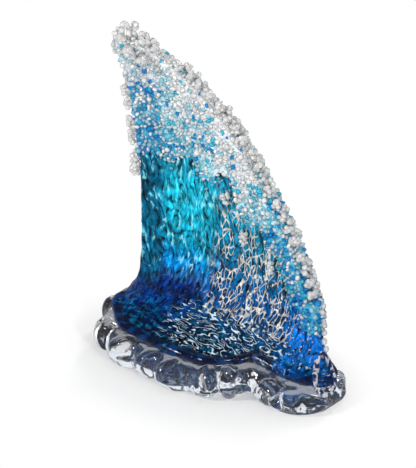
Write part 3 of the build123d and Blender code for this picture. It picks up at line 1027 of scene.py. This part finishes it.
def seen_at(surface, across, up):
    """The place of a surface that is seen so many millimetres across and up from the middle of the view.

    Where there is only air, the place is looked for farther to the left.
    """
    aim = VIEW_AIM + (to_the_right * across + to_the_right.cross(ahead) * up) * MM
    towards = (aim - camera.location).normalized()
    place = surface.ray_cast(camera.location, towards)[0]
    return place if place is not None else seen_at(surface, across - 1, up)


end_surface = tree_of(body, foot)
print("seen at the low end (mm):", [round(c / MM) for c in seen_at(end_surface, 80, -119)])

# %% The clear loop at the low end
LOOP_OUTLINE = ((80, -119), (86, -127), (91, -138), (93, -150), (89, -160), (81, -161), (74, -153),
                (73, -141), (75, -128))
LOOP_THREAD = 2.7
LOOP_LIFT = 1.8
LOOP_PAINTED_DARK_BLUE = (0.01, 0.04, 0.16)
LOOP_WHITE_AND_HIGHLIGHT = (0.97, 0.98, 1.0)


def loop_glass():
    """Clear glass over dark blue: white streaks of its own clear colour and painted highlight, beside dark
    blue streaks of painted shade, under a hard gloss.
    """
    glass = Finish("loop_glass", Transmission_Weight=0.45, IOR=1.45, Coat_Weight=1.0)
    x, y, z = glass.place()
    streaks = glass.cloud(glass.vector(x / 4.4, y / 4.4, z / 12), 1.0)
    # The streaks paint light and shade into the colour: white highlights beside dark blue shade.
    glass.feed("Base Color", glass.mix(glass.step(streaks, 0.46, 0.58), LOOP_PAINTED_DARK_BLUE, LOOP_WHITE_AND_HIGHLIGHT))
    glass.feed("Roughness", 0.04 * streaks)
    glass.relief(streaks, 1.2)
    return glass


def clear_loop(surface):
    ring = []
    for (across, up), (next_across, next_up) in zip(LOOP_OUTLINE, LOOP_OUTLINE[1:] + LOOP_OUTLINE[:1]):
        for share in (0.0, 0.33, 0.67):
            place = seen_at(surface, across + (next_across - across) * share, up + (next_up - up) * share)
            ring.append(place - ahead * LOOP_LIFT * MM)
    loop = roll_of("end_loop", ring, LOOP_THREAD)
    bpy.ops.object.shade_smooth()
    finish_piece(loop, loop_glass())
    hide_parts("corner_loop")
    print("points of the loop:", len(ring))


clear_loop(end_surface)

# %% [markdown]
# Below the foam a string of single beads runs on down the low end of the wall, each beside the next. They sit
# half sunk in the edge of the glass, so each is placed where the wall's edge is seen, and moved out to the
# side and to the front by a quarter of its size.

# %% The string of beads at the low end
END_BEADS = ((70, -28), (74, -39), (78, -50), (80, -61), (83, -72), (85, -82), (87, -91), (88, -99),
             (90, -107), (91, -115), (66, -35), (71, -45), (74, -56), (77, -67), (79, -78), (80, -88),
             (82, -98), (84, -108))
END_BEAD_SIZE = 3.9


def end_beads(surface):
    random = np.random.default_rng(51)
    side = to_the_right - ahead
    places = [seen_at(surface, across, up) for across, up in END_BEADS]
    seats = [(place + side * END_BEAD_SIZE * 0.25 * MM)[:] for place in places]
    radii = random.uniform(0.8, 1.1, size=len(seats)) * END_BEAD_SIZE * MM
    beads = beads_at("end_beads", np.array(seats), radii, random, 0.10)
    round_off(beads)
    finish_piece(beads, bead_finish)


end_beads(tree_of(body, bed))

# %% [markdown]
# The sculpture stands on a white table. Close to it the table is a real diffuse surface, so the soft shadow
# and the blue light under the glass fall on it, and a weak glow that only the eye sees keeps that shadow
# pale. Farther out it turns into plain white, as a light table does. Glass shows the table mostly white, and
# mirrors about half of it.

# %% The table
TABLE_GREY = (0.80, 0.80, 0.80)
TABLE_GLOW = 0.20
TABLE_TOP = -0.0005
WHITE_FROM = 130
WHITE_AT = 205
WHITE_THROUGH_GLASS = 0.85
LOST_IN_MIRRORS = 0.55


def glow_of(paint, strength):
    """White light of some strength."""
    return paint.node("ShaderNodeEmission", {}, {"Color": (1, 1, 1), "Strength": strength})


def table_paint():
    paint = Finish("table_paint", Base_Color=(*TABLE_GREY, 1), Roughness=0.9)
    x, y, z = paint.place()
    seen = paint.node("ShaderNodeLightPath", output="Is Camera Ray")
    in_mirror = paint.node("ShaderNodeLightPath", output="Is Glossy Ray")
    through = paint.node("ShaderNodeLightPath", output="Is Transmission Ray")
    no_light = glow_of(paint, 0.0)
    glow = glow_of(paint, TABLE_GLOW)
    glow_if_seen = paint.node("ShaderNodeMixShader", {}, {0: seen, 1: no_light, 2: glow})
    diffuse = Value(paint, paint.shader.outputs[0])
    near = paint.node("ShaderNodeAddShader", {}, {0: diffuse, 1: glow_if_seen})
    reach = ((x + 20) * (x + 20) * 0.9 + y * y * 2.1) ** 0.5
    whiteness = paint.step(reach, WHITE_FROM, WHITE_AT).most(through * WHITE_THROUGH_GLASS)
    blend = paint.node("ShaderNodeMixShader", {}, {0: whiteness, 1: near, 2: glow_of(paint, 1.0)})
    last = paint.node("ShaderNodeMixShader", {}, {0: in_mirror * LOST_IN_MIRRORS, 1: blend, 2: no_light})
    paint.join(last, paint.tree.nodes["Material Output"].inputs["Surface"])
    return paint


bpy.ops.mesh.primitive_plane_add(size=8, location=(0, 0, TABLE_TOP))
floor = bpy.context.active_object
floor.name = "table"
floor.data.materials.append(table_paint().material)
print("side of the table (m):", floor.dimensions.x)

# %% The dark cards
def card(name, place, target, width, height, grey):
    """A dark card that only the glass sees."""
    bpy.ops.mesh.primitive_plane_add(size=1, location=place)
    sheet = bpy.context.active_object
    sheet.name = name
    sheet.scale = (width, height, 1)
    sheet.rotation_euler = (Vector(target) - Vector(place)).to_track_quat("Z", "Y").to_euler()
    felt = Finish(name + "_felt", Base_Color=(grey, grey, grey, 1), Roughness=1.0)
    sheet.data.materials.append(felt.material)
    sheet.visible_camera = False
    sheet.visible_diffuse = False
    sheet.visible_shadow = False
    print(name, "at", place)


card("left_card", (-1.3, 0.2, 0.5), middle, 0.16, 1.2, 0.10)
card("right_card", (1.1, 0.9, 0.5), middle, 0.16, 1.2, 0.10)

# %% [markdown]
# At the end each piece with more than 50000 triangles is printed with its count.

# %% Measure and finish
for piece in bpy.context.scene.objects:
    if piece.type == "MESH":
        triangles = sum(len(face.vertices) - 2 for face in piece.data.polygons)
        if triangles > 50000:
            print(piece.name, "triangles:", triangles)
